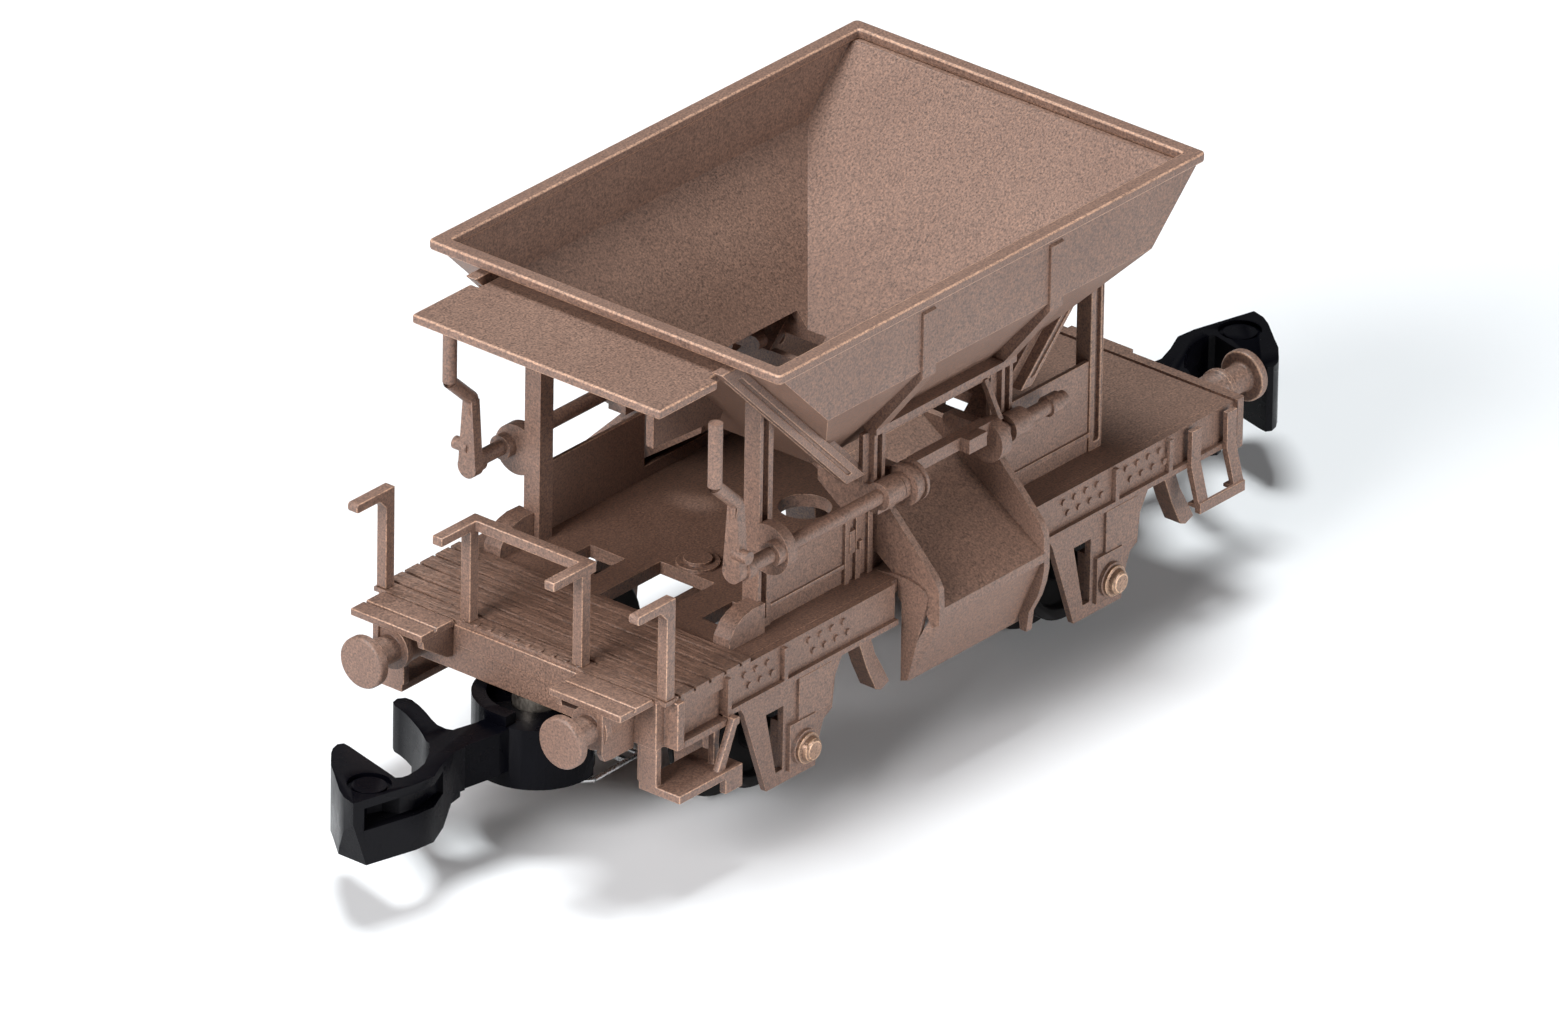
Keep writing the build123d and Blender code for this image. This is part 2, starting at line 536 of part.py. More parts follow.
def make_lever(side):
    """Hand lever on the front end of a flap shaft: tapered arm, cranked round grip and a side pin."""
    with BuildPart() as lever:
        y = side * (SHAFT_Y - 0.15)
        rear = -LEVER_X + LEVER_T / 2
        cross_plate([(y - 0.48, SHAFT_H), (y + 0.48, SHAFT_H), (y + 0.26, 15.15), (y - 0.26, 15.15)],
                    rear - LEVER_T, rear)
        rod_x(rear - LEVER_T, rear, y, SHAFT_H, 0.5)
        with BuildLine() as grip_path:
            Polyline((-LEVER_X, y, up(14.5)), (-LEVER_X, y, up(15.2)), (-GRIP_X, y, up(16.5)),
                     (-GRIP_X, y, up(19.45)))
        with BuildSketch(Plane(origin=(-LEVER_X, y, up(14.5)), z_dir=(0, 0, 1))) as section:
            Circle(GRIP_R)
        sweep(section.sketch, path=grip_path.line, transition=Transition.ROUND)
        rod_y(-LEVER_X - 0.05, y, side * 8.05, SHAFT_H + 0.87, 0.29)
        rod_x(rear, rear + 0.45, side * SHAFT_Y, SHAFT_H, 0.5)
        rod_x(rear - 0.05, rear + 0.45, side * SHAFT_Y, SHAFT_H, SHAFT_R, Mode.SUBTRACT)
    return lever


save(make_lever(-1), "lever_right")
save(make_lever(1), "lever_left")

# ---------------------------------------------------------------- running gear carried by the frame
def make_axle_guard(xa, side):
    """Axle guard with tie bar, axle box and the cup for one journal."""
    with BuildPart() as guard:
        y0 = side * DECK_HALF
        y1 = side * (DECK_HALF + 0.32)
        side_plate([(xa - 4.0, SOLE_Z0), (xa - 3.65, 5.5), (xa - 2.1, 1.25), (xa + 1.1, 1.25),
                    (xa + 1.25, 2.3),
                    (xa + 2.2, 4.8), (xa + 2.9, SOLE_Z0)], y0, y1)
        side_plate([(xa - 1.05, 4.9), (xa - 2.2, 4.9), (xa - 1.5, 1.9), (xa - 1.05, 1.9)], y0, y1,
                   Mode.SUBTRACT)
        block(xa - 0.85, xa + 0.85, side * (DECK_HALF - 0.55), side * 8.15, AXLE_H - 1.05, AXLE_H + 1.15)
        rod_y(xa, side * 8.15, side * 8.35, AXLE_H - 0.1, 0.78)
        rod_y(xa, side * 8.35, side * 8.45, AXLE_H - 0.1, 0.3)
        block(xa - 0.2, xa + 1.9, y1, side * (DECK_HALF + 0.47), 3.9, 5.9)
        rod_y(xa, side * (DECK_HALF - 0.55), side * 7.98, AXLE_H, JOURNAL_R + JOURNAL_FIT, Mode.SUBTRACT)
    return guard


for xa, end_name in ((AXLE_FRONT, "front"), (AXLE_REAR, "rear")):
    for side, side_name in ((-1, "right"), (1, "left")):
        save(make_axle_guard(xa, side), f"axle_guard_{end_name}_{side_name}")


def make_brake_gear(xa):
    """Brake shoes at both sides of a wheelset, their two cross beams and the pull rod between them."""
    with BuildPart() as gear:
        near = 4.15
        far = 4.6
        block(xa - near, xa + near, -0.35, 0.35, 5.75, 6.15)
        for along in (-1, 1):
            block(xa + along * near, xa + along * far, -7.5, 7.5, 5.75, 6.15)
            shoe = [(xa + along * near, 6.15), (xa + along * far, 6.15), (xa + along * 4.15, 2.2),
                    (xa + along * 3.6, 1.9), (xa + along * 3.1, 1.7), (xa + along * 3.4, 2.8),
                    (xa + along * 3.2, 4.1)]
            for side in (-1, 1):
                block(xa + along * near, xa + along * far, side * 4.5, side * 5.1, 6.15, DECK_Z0)
                side_plate(shoe, side * 4.6, side * 6.3)
        for side in (-1, 1):
            side_plate([(xa + 4.2, 6.0), (xa + 5.0, 6.0), (xa + 5.5, 4.65), (xa + 5.9, 3.98),
                        (xa + 6.45, 3.0),
                        (xa + 5.92, 2.78), (xa + 5.56, 2.93), (xa + 4.95, 4.14), (xa + 4.57, 5.07)],
                       side * 6.6, side * 7.5)
    return gear


save(make_brake_gear(AXLE_FRONT), "brake_gear_front")
save(make_brake_gear(AXLE_REAR), "brake_gear_rear")


def make_front_step(side):
    """Step tray below the platform corner with its hangers."""
    with BuildPart() as step:
        block(-19.1, -15.0, side * 6.5, side * 8.75, 3.55, 3.92)
        block(-19.1, -18.75, side * 6.4, side * 7.45, 3.92, 5.68)
        block(-15.95, -15.6, side * 7.62, side * 7.95, 3.92, 5.68)
        block(-16.1, -15.0, side * 8.4, side * 8.75, 2.85, 3.55)
        side_plate([(-15.38, SOLE_Z0), (-15.0, SOLE_Z0), (-15.9, 3.92), (-16.4, 3.92)], side * 8.24,
                   side * 8.55)
        block(-15.38, -15.0, side * 7.9, side * 8.55, 5.7, SOLE_Z0)
    return step


save(make_front_step(-1), "step_front_right")
save(make_front_step(1), "step_front_left")


def make_rear_step(side):
    """Two straps over the rear end of a sole bar with a narrow tread."""
    with BuildPart() as step:
        for x in (15.3, 17.7):
            cross_plate([(side * SOLE_LIP, 7.85), (side * (SOLE_LIP + 0.25), 7.85),
                         (side * (SOLE_LIP + 0.25), 6.2), (side * 8.9, 4.6), (side * 8.9, 4.3),
                         (side * 8.3, 4.3), (side * 8.3, 4.45), (side * 8.65, 4.5),
                         (side * SOLE_LIP, 5.9)],
                        x - 0.32, x + 0.32)
        block(15.62, 17.38, side * 8.85, side * 9.0, 4.1, 4.6)
        for x in (15.3, 17.7):
            block(x - 0.32, x + 0.32, side * 8.7, side * 9.0, 4.1, 4.6)
    return step


save(make_rear_step(-1), "step_rear_right")
save(make_rear_step(1), "step_rear_left")


def make_buffer(end, side):
    """Buffer with housing, ram and round head."""
    with BuildPart() as buffer:
        y = side * BUFFER_Y
        root = STOCK_REAR if end > 0 else BEAM_FRONT
        face = FACE_REAR if end > 0 else FACE_FRONT
        housing = 0.8 if end > 0 else 0.88
        rod_x(end * root, end * (root + 1.9), y, BUFFER_H, housing)
        rod_x(end * (root + 1.55), end * (root + 1.9), y, BUFFER_H, housing + 0.1)
        rod_x(end * (root + 1.9), end * (face - 0.45), y, BUFFER_H, 0.62)
        rod_x(end * (face - 0.45), end * face, y, BUFFER_H, HEAD_R)
        fillet(buffer.faces().sort_by(Axis.X)[-1 if end > 0 else 0].edges(), 0.12)
        if end < 0:
            side_plate([(-PAD_X + 0.15, 7.8), (-PAD_X + 0.15, 5.85), (-PAD_X + 0.35, 5.5), (-PAD_X + 0.7, 5.45),
                        (-root, 5.45), (-root, 7.8)], side * 6.0, side * 6.3)
    return buffer


for end, end_name in ((-1, "front"), (1, "rear")):
    for side, side_name in ((-1, "right"), (1, "left")):
        save(make_buffer(end, side), f"buffer_{end_name}_{side_name}")

# ---------------------------------------------------------------- wheelsets
def make_axle(xa):
    """Steel axle with a reduced journal at each end."""
    with BuildPart() as axle:
        rod_y(xa, -6.9, 6.9, AXLE_H, AXLE_R)
        rod_y(xa, -7.9, 7.9, AXLE_H, JOURNAL_R)
        chamfer(axle.faces().filter_by(Axis.Y).group_by(Axis.Y)[0].edges(), 0.12)
        chamfer(axle.faces().filter_by(Axis.Y).group_by(Axis.Y)[-1].edges(), 0.12)
    return axle


def make_wheel(xa, side):
    """Disc wheel: flange, coned tread, dished web and hub, turned about the axle."""
    with BuildPart() as wheel:
        inner = BACK_TO_BACK / 2
        outer = inner + WHEEL_W
        plane = Plane(origin=(xa, 0, up(AXLE_H)), x_dir=(0, side, 0), z_dir=(1, 0, 0))
        with BuildSketch(plane):
            with BuildLine():
                Polyline((inner - 0.15, AXLE_R), (inner - 0.15, 1.1), (inner + 0.25, 1.2),
                         (inner + 0.25, 2.2),
                         (inner, 2.35), (inner, FLANGE_R - 0.15), (inner + 0.15, FLANGE_R),
                         (inner + 0.35, FLANGE_R), (inner + 0.6, AXLE_H + 0.12), (inner + 0.75, AXLE_H),
                         (outer, AXLE_H - 0.06), (outer, 2.25), (outer - 0.45, 2.15),
                         (outer - 0.45, 1.05),
                         (outer, 0.95), (outer, AXLE_R), close=True)
            make_face()
        revolve(axis=Axis((xa, 0, up(AXLE_H)), (0, 1, 0)))
    return wheel


for xa, end_name in ((AXLE_FRONT, "front"), (AXLE_REAR, "rear")):
    save(make_axle(xa), f"axle_{end_name}")
    for side, side_name in ((-1, "right"), (1, "left")):
        save(make_wheel(xa, side), f"wheel_{end_name}_{side_name}")


# ---------------------------------------------------------------- couplers
def make_pivot_pin(end):
    """Fixed pivot boss under the deck with its retaining head."""
    with BuildPart() as pin:
        x = end * PIVOT_X
        rod_z(x, 0, BARREL_Z0 - 0.1, DECK_Z0, PIN_R)
        rod_z(x, 0, BARREL_Z0 - 0.4, BARREL_Z0 - 0.1, PIN_R + 0.5)
    return pin


def make_coupler(end):
    """Hook coupler: ring, shank, curved guide wing and the hooked head with its hollow."""

    def turn(points):
        """Place points given as (distance outward, offset) for the end of the car."""
        return [(end * u, -end * v) for u, v in points]

    with BuildPart() as coupler:
        rod_z(end * PIVOT_X, 0, BARREL_Z0, COUP_Z1 + 0.5, BARREL_R)
        block(end * (PIVOT_X - 3), end * (PIVOT_X - 0.6), -3.0, 3.0, BARREL_Z0, COUP_Z1 + 0.5, Mode.SUBTRACT)
        rod_z(end * PIVOT_X, 0, BARREL_Z0, COUP_Z1 + 0.5, RING_R)
        rod_z(end * PIVOT_X, 0, COUP_Z1, COUP_Z1 + 0.5, RING_R - 0.4, Mode.SUBTRACT)
        block(end * (PIVOT_X - 3), end * (PIVOT_X + 3), 0.6 * end, 3.0 * end, COUP_Z1, COUP_Z1 + 0.5,
              Mode.SUBTRACT)
        flat_plate(turn([(19.0, -0.75), (19.0, 0.75), (20.6, 0.57), (21.2, 0.62), (22.2, 0.9), (23.4, 1.0),
                         (24.0, -0.25), (21.3, -0.75)]), COUP_Z0, COUP_Z1)
        wing = [(24.0, 0.3), (23.84, 1.11), (23.5, 1.58), (23.19, 2.07), (22.83, 2.75)]
        tip = [(22.56, 3.3), (22.38, 3.8), (22.3, 4.15), (22.1, 4.42), (21.75, 4.5), (21.45, 4.3), (21.42, 3.95),
               (21.6, 3.4)]
        root = [(21.9, 2.75), (22.2, 2.2), (22.42, 1.7), (22.45, 1.2), (22.2, 0.6)]
        flat_plate(turn(wing + tip + root), COUP_Z0 - 0.18, COUP_Z1)
        flat_plate(turn(wing + root), 1.9, COUP_Z0)
        head = turn([(23.2, -0.5), (23.9, -0.4), (24.9, -0.72), (26.0, -1.2), (27.0, -1.1), (30.08, -0.27),
                     (29.9, 0.4), (29.55, 0.95), (29.14, 1.43), (28.52, 2.15), (28.07, 2.7), (27.3, 3.35),
                     (26.9, 3.6), (26.5, 3.7), (26.25, 3.55), (26.3, 3.2), (27.15, -0.05), (26.95, -0.25),
                     (26.6, -0.32), (26.0, -0.28), (25.4, -0.15), (24.6, 0.3), (23.7, 1.0), (23.2, 0.9)])
        flat_plate(head, 1.9, COUP_Z1)
        rod_z(end * 28.26, -end * 0.42, COUP_Z1 - 0.2, COUP_Z1, 0.95, Mode.SUBTRACT)
        rod_z(end * 28.26, -end * 0.42, COUP_Z1 - 0.22, COUP_Z1 - 0.08, 0.74)
        hollow = turn([(29.7, -1.6), (29.5, -0.1), (29.1, 0.35), (28.3, 0.5), (27.7, 0.2), (27.4, -0.5),
                       (26.5, -0.68), (25.6, -0.5), (24.9, -0.45), (24.6, -1.6)])
        flat_plate(hollow, 3.55, 4.6, Mode.SUBTRACT)
        side_plate([(end * 30.3, COUP_Z1 - 0.3), (end * 30.3, 1.5), (end * 29.3, 1.5)], -4.5, 4.5,
                   Mode.SUBTRACT)
        side_plate([(end * 23.2, 1.5), (end * 23.2, 3.0), (end * 23.6, 3.0), (end * 24.8, 1.9),
                    (end * 24.8, 1.5)], -1.6, 0.29, Mode.SUBTRACT)
        rod_z(end * PIVOT_X, 0, BARREL_Z0, COUP_Z1, PIN_R + PIN_FIT, Mode.SUBTRACT)
    return coupler


def make_spring(end):
    """Centring wire: a bow behind the pivot whose two legs run below the ring and turn in under it."""
    with BuildPart() as spring:
        h = up(BARREL_Z0 - 0.2)
        with BuildLine() as wire_path:
            Polyline((end * 18.05, -2.19, h), (end * 17.45, -2.72, h), (end * 14.4, -2.62, h),
                     (end * 14.4, 2.62, h), (end * 17.45, 2.72, h), (end * 18.05, 2.19, h))
        with BuildSketch(Plane(origin=(end * 18.05, -2.19, h), z_dir=(end * -0.6, -0.53, 0))) as wire:
            Circle(WIRE_R)
        sweep(wire.sketch, path=wire_path.line, transition=Transition.ROUND)
        block(end * 15.14, end * 15.36, -2.7, 2.7, BARREL_Z0 - 0.3, BARREL_Z0 - 0.1)
        block(end * 15.14, end * 15.36, -0.8, 0.8, BARREL_Z0 - 0.3, DECK_Z0)
    return spring


for end, end_name in ((-1, "front"), (1, "rear")):
    save(make_pivot_pin(end), f"coupler_pin_{end_name}")
    save(make_coupler(end), f"coupler_{end_name}")
    save(make_spring(end), f"coupler_spring_{end_name}")
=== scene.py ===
import json
import math

import bmesh
import bpy
from mathutils import Matrix, Vector


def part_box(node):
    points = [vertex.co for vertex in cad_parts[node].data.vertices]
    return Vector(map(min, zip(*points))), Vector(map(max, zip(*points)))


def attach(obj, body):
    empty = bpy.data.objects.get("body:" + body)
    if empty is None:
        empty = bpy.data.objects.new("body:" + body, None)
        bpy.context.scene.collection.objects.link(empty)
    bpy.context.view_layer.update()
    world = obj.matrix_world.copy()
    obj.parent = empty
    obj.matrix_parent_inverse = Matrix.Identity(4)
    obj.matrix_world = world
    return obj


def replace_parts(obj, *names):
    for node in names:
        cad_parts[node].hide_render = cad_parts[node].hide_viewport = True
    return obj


# Looks of a 1:160 hopper car with a brakeman's platform: every moulding gets its soft edges,
# a grainy matt finish and the small surface detail that the solid model leaves out.
# The car's long axis is X with the platform end at -X, and the photographed side is -Y.

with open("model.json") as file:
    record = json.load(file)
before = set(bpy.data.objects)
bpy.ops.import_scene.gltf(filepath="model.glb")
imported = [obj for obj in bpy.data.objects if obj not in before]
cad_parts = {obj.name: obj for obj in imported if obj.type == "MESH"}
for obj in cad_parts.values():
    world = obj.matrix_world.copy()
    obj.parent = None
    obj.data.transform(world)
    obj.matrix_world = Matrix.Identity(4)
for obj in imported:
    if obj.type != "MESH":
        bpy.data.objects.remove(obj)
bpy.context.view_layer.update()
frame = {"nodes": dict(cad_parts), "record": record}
record = frame["record"]
MM = 0.001


# ---------------------------------------------------------------- materials
CREST = "crest"                         # mesh attribute: 1 on the crest of a rounded outer edge
HIGHLIT_AND_WORN_BROWN_TIMES = (2.2, 2.3, 2.2, 1)   # paler edge crests, painted highlight with some wear: the brown times this
# painted highlight with some wear: the grey of a black piece's sharp corners
HIGHLIT_AND_WORN_BLACK = (0.06, 0.058, 0.06, 1)
BROWN_SPECULAR, BLACK_SPECULAR, METAL_SPECULAR, FLOOR_SPECULAR = 0.75, 0.05, 0.5, 0.2
BROWN_IOR = 1.52
ALONG_Y = (1.0, 0.09, 1.0)              # stretches a noise into streaks across the car


def material(name, metallic, specular):
    """A new material, its node tree, its shader and the object's own coordinates in metres."""
    mat = bpy.data.materials.new(name)
    mat.use_nodes = True
    tree = mat.node_tree
    bsdf = tree.nodes["Principled BSDF"]
    bsdf.inputs["Metallic"].default_value = metallic
    bsdf.inputs["Specular IOR Level"].default_value = specular
    return mat, tree, bsdf, tree.nodes.new("ShaderNodeTexCoord").outputs["Object"]


def noise(tree, coord, per_mm, detail, rough, distortion=0.0):
    """Noise whose grains are about 1 / per_mm millimetres wide."""
    node = tree.nodes.new("ShaderNodeTexNoise")
    node.inputs["Scale"].default_value = per_mm / MM
    node.inputs["Detail"].default_value = detail
    node.inputs["Roughness"].default_value = rough
    node.inputs["Distortion"].default_value = distortion
    tree.links.new(coord, node.inputs["Vector"])
    return node.outputs["Fac"]


def ramp(tree, fac, stops):
    """A colour for each value of fac, from stops of (value, colour)."""
    node = tree.nodes.new("ShaderNodeValToRGB")
    ends = node.color_ramp.elements
    while len(ends) < len(stops):
        ends.new(0.5)
    for end, (at, colour) in zip(ends, stops):
        end.position = at
        end.color = (*colour, 1)
    tree.links.new(fac, node.inputs["Fac"])
    return node.outputs["Color"]


def two_tone(tree, fac, dark, light):
    """Mottling between two colours, over the middle of a noise's range."""
    return ramp(tree, fac, [(0.3, dark), (0.7, light)])


def mix(tree, fac, a, b, how="MIX"):
    """Two colours mixed; fac, a and b are sockets or fixed values."""
    node = tree.nodes.new("ShaderNodeMix")
    node.data_type = "RGBA"
    node.blend_type = how
    for socket, value in ((node.inputs[0], fac), (node.inputs[6], a), (node.inputs[7], b)):
        if isinstance(value, bpy.types.NodeSocket):
            tree.links.new(value, socket)
        else:
            socket.default_value = value
    return node.outputs[2]


def to_range(tree, fac, low, high, start=0.3, stop=0.7):
    """Low up to start, high from stop on, and even between."""
    node = tree.nodes.new("ShaderNodeMapRange")
    node.inputs["From Min"].default_value = start
    node.inputs["From Max"].default_value = stop
    node.inputs["To Min"].default_value = low
    node.inputs["To Max"].default_value = high
    tree.links.new(fac, node.inputs["Value"])
    return node.outputs["Result"]


def bump(tree, heights, distance_mm, strength, before=None):
    """Surface relief from heights, on top of an earlier relief if there is one."""
    node = tree.nodes.new("ShaderNodeBump")
    node.inputs["Strength"].default_value = strength
    node.inputs["Distance"].default_value = distance_mm * MM
    tree.links.new(heights, node.inputs["Height"])
    if before is not None:
        tree.links.new(before, node.inputs["Normal"])
    return node.outputs["Normal"]


def feed(tree, bsdf, colour, roughness, relief):
    """Give the shader its colour, roughness and surface relief."""
    for name, socket in (("Base Color", colour), ("Roughness", roughness), ("Normal", relief)):
        tree.links.new(socket, bsdf.inputs[name])


def moulded_brown(name, dark, light, grain, roughness, metallic, grime, streaks=0.0):
    """Matt moulded finish: fine metallic-looking grain, slow mottling, paler edge crests (partly
    worn paint, partly a painted highlight) and the relief of wood streaks along Y where streaks is
    above 0."""
    mat, tree, bsdf, coord = material(name, metallic, BROWN_SPECULAR)
    bsdf.inputs["IOR"].default_value = BROWN_IOR
    fine = noise(tree, coord, 10.0, 2.5, 0.7)
    coarse = noise(tree, coord, 3.4, 2.0, 0.55)
    slow = noise(tree, coord, 0.22, 3.0, 0.6, 0.4)

    pit, plain = (1 - grain,) * 3, (1.0,) * 3
    golden = (1 + grain, 1 + 0.95 * grain, 1 + 0.75 * grain)
    speck = ramp(tree, fine, [(0.3, pit), (0.5, plain), (0.72, golden)])
    dirt = ramp(tree, coarse, [(0.36, (1 - grime,) * 3), (0.56, plain)])
    grained = mix(tree, 1.0, two_tone(tree, slow, dark, light), speck, "MULTIPLY")
    dirty = mix(tree, 1.0, grained, dirt, "MULTIPLY")
    # painted highlight with some wear: the crest of every rounded outer edge is made paler
    pale = mix(tree, 1.0, dirty, HIGHLIT_AND_WORN_BROWN_TIMES, "MULTIPLY")
    crest = tree.nodes.new("ShaderNodeAttribute")
    crest.attribute_name = CREST
    highlit_and_worn = to_range(tree, crest.outputs["Fac"], 0.0, 1.0, 0.05, 0.6)

    relief = bump(tree, coarse, 0.03, 0.35)
    if streaks:
        stretch = tree.nodes.new("ShaderNodeMapping")
        stretch.inputs["Scale"].default_value = ALONG_Y
        tree.links.new(coord, stretch.inputs["Vector"])
        wood = noise(tree, stretch.outputs["Vector"], 4.2, 3.0, 0.6, 0.2)
        relief = bump(tree, wood, 0.13, streaks, relief)
    feed(tree, bsdf, mix(tree, highlit_and_worn, dirty, pale),
         to_range(tree, fine, roughness - 0.1, roughness + 0.12),
         bump(tree, fine, 0.02, 0.9, relief))
    return mat


def satin_black(name, tint, roughness, grain_per_mm, highlight_and_wear):
    """Black finish with slow tints; its sharp corners get a grey painted highlight with some wear,
    by the given share.
    """
    mat, tree, bsdf, coord = material(name, 0.0, BLACK_SPECULAR)
    fine = noise(tree, coord, grain_per_mm, 3.0, 0.6)
    slow = noise(tree, coord, 0.5, 3.0, 0.6)
    base = two_tone(tree, slow, tint, tuple(1.6 * v for v in tint))
    corner = tree.nodes.new("ShaderNodeNewGeometry").outputs["Pointiness"]
    # painted highlight with some wear: sharp corners go grey
    highlit_and_worn = to_range(tree, corner, 0.0, highlight_and_wear, 0.52, 0.6)
    feed(tree, bsdf, mix(tree, highlit_and_worn, base, HIGHLIT_AND_WORN_BLACK),
         to_range(tree, slow, roughness - 0.08, roughness + 0.1),
         bump(tree, fine, 0.01, 0.35))
    return mat


def drawn_metal(name, dark, light, roughness, per_mm):
    """Bare metal with fine drawing marks."""
    mat, tree, bsdf, coord = material(name, 1.0, METAL_SPECULAR)
    fine = noise(tree, coord, per_mm, 4.0, 0.6, 0.3)
    slow = noise(tree, coord, 0.9, 2.0, 0.5)
    feed(tree, bsdf, two_tone(tree, slow, dark, light),
         to_range(tree, fine, roughness - 0.08, roughness + 0.14),
         bump(tree, fine, 0.006, 0.4))
    return mat


MATERIALS = {
    "body_brown": moulded_brown("moulded_brown", (0.172, 0.094, 0.066), (0.198, 0.113, 0.081),
                                grain=0.65, roughness=0.54, metallic=0.0, grime=0.1),
    "chassis_brown": moulded_brown("cast_brown", (0.162, 0.087, 0.06), (0.192, 0.107, 0.075),
                                   grain=0.68, roughness=0.52, metallic=0.05, grime=0.16),
    "coupler_black": satin_black("satin_black", (0.0012, 0.0012, 0.0022),
                                 roughness=0.26, grain_per_mm=7.0, highlight_and_wear=0.1),
    "wheel_black": satin_black("blackened_wheel", (0.008, 0.0075, 0.0075),
                               roughness=0.4, grain_per_mm=6.0, highlight_and_wear=0.35),
    "axle_steel": drawn_metal("axle_steel", (0.3, 0.29, 0.28), (0.42, 0.41, 0.39),
                              roughness=0.38, per_mm=6.0),
    "pin_metal": drawn_metal("pin_metal", (0.32, 0.28, 0.24), (0.45, 0.4, 0.35),
                             roughness=0.4, per_mm=6.0),
    "spring_wire": drawn_metal("spring_wire", (0.5, 0.5, 0.5), (0.68, 0.68, 0.68),
                               roughness=0.25, per_mm=8.0),
}
PLANK_BROWN = moulded_brown("plank_brown", (0.182, 0.099, 0.068), (0.22, 0.125, 0.088),
                            grain=0.6, roughness=0.5, metallic=0.0, grime=0.3, streaks=1.0)
RUBBED_BROWN = moulded_brown("worn_brown", (0.26, 0.15, 0.1), (0.42, 0.27, 0.19),
                             grain=0.5, roughness=0.34, metallic=0.5, grime=0.2)


# ---------------------------------------------------------------- soft-edged pieces
BODY_OF = {node: body for body, nodes in record["behaviour"]["bodies"].items() for node in nodes}
SLOT_OF = {part["node"]: part["material_slot"] for part in record["subparts"]}

WELD = 0.0008 * MM                      # corners nearer than this are one corner
FLAT = math.radians(0.6)                # faces that bend less than this are one flat face
SHARP = math.radians(32)                # edges that bend more than this get rounded
ROUNDING_STEPS = 2
ROUNDING_FACES = 1                      # material index of the faces that the rounding makes
OUTWARD = -0.2                          # a corner bulges out when its edges fall away by more

# nodes with deeply notched flat faces: rounded whole, they get stray faces over the notches
HOLLOWED = ("axle_guard", "brake_gear", "buffer_rear", "hopper_tub")

# rounding in millimetres by a word in the node's name; the widest that fits the name counts
WIDTHS = {"hopper": 0.1, "canopy": 0.09, "post": 0.07, "chute": 0.08, "deck": 0.07,
          "headstock": 0.08, "sole_bar": 0.07, "buffer": 0.09, "coupler": 0.09}
FINE_WIDTH = 0.05


def cleaned(node):
    """The node's mesh, its corners joined and its flat faces whole, so that edges can be rounded."""
    mesh = bmesh.new()
    mesh.from_mesh(frame["nodes"][node].data)
    bmesh.ops.remove_doubles(mesh, verts=mesh.verts, dist=WELD)
    bmesh.ops.dissolve_degenerate(mesh, edges=mesh.edges, dist=WELD)
    bmesh.ops.dissolve_limit(mesh, angle_limit=FLAT, verts=mesh.verts, edges=mesh.edges,
                             delimit={"NORMAL"})
    if any(word in node for word in HOLLOWED):
        bmesh.ops.connect_verts_concave(mesh, faces=mesh.faces)
    return mesh


def mark_crests(data):
    """Mark the crest of every rounded outer edge, where the finish gets a painted highlight and
    wear.
    """
    mesh = bmesh.new()
    mesh.from_mesh(data)
    crest = mesh.verts.layers.float.new(CREST)
    for vert in mesh.verts:
        if all(face.material_index == ROUNDING_FACES for face in vert.link_faces):
            ways = ((edge.other_vert(vert).co - vert.co).normalized() for edge in vert.link_edges)
            vert[crest] = 1.0 if sum(way.dot(vert.normal) for way in ways) < OUTWARD else 0.0
    for face in mesh.faces:
        face.material_index = 0
    mesh.to_mesh(data)
    mesh.free()


def rounded(name, mesh, width, slot, body):
    """A piece made from the mesh, with every sharp edge rounded by width millimetres."""
    data = bpy.data.meshes.new(name)
    mesh.to_mesh(data)
    mesh.free()
    piece = bpy.data.objects.new(name, data)
    bpy.context.scene.collection.objects.link(piece)
    for face in data.polygons:
        face.use_smooth = True
    data.set_sharp_from_angle(angle=SHARP)
    rounding = piece.modifiers.new("rounding", "BEVEL")
    rounding.width = width * MM
    rounding.segments = ROUNDING_STEPS
    rounding.limit_method = "ANGLE"
    rounding.angle_limit = SHARP
    rounding.use_clamp_overlap = True
    rounding.miter_outer = "MITER_ARC"
    rounding.material = ROUNDING_FACES
    data.materials.append(MATERIALS[slot])
    data.materials.append(MATERIALS[slot])
    weighted = piece.modifiers.new("weighted", "WEIGHTED_NORMAL")
    weighted.keep_sharp = True
    shaped = piece.evaluated_get(bpy.context.evaluated_depsgraph_get())
    done = bpy.data.meshes.new_from_object(shaped)
    piece.modifiers.clear()
    piece.data = done
    mark_crests(done)
    done.materials.clear()
    done.materials.append(MATERIALS[slot])
    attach(piece, body)
    return piece


for node in frame["nodes"]:
    width = max((wide for word, wide in WIDTHS.items() if word in node), default=FINE_WIDTH)
    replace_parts(rounded(node + "_soft", cleaned(node), width, SLOT_OF[node], BODY_OF[node]), node)
bpy.data.objects["plank_platform_soft"].data.materials[0] = PLANK_BROWN


# ---------------------------------------------------------------- small moulded detail
# all in millimetres
CAP_DROP = 0.12                         # the cap's middle lies this far below the axle's
CAP_PROFILE = ((8.1, 0.7), (8.5, 0.7), (8.5, 0.58), (8.74, 0.52), (8.82, 0.4))
CAP_WIDTH = 0.04

HINGE_BACK = 6.3                        # from the middle plane to just inside the sheet's face
HINGE_SLABS = (                         # (x from, x to, outer face, z from, z to)
    (-5.56, -5.14, 6.56, 10.15, 11.25),   # plate
    (-5.02, -4.74, 6.66, 10.2, 10.66),    # knuckle
    (-5.04, -4.94, 6.5, 9.5, 10.24),      # short strap
    (-4.82, -4.72, 6.5, 9.1, 10.24),      # long strap
)
HINGE_WIDTH = 0.03
DRAFT = 0.03                            # a slab's outer face is this much smaller all round


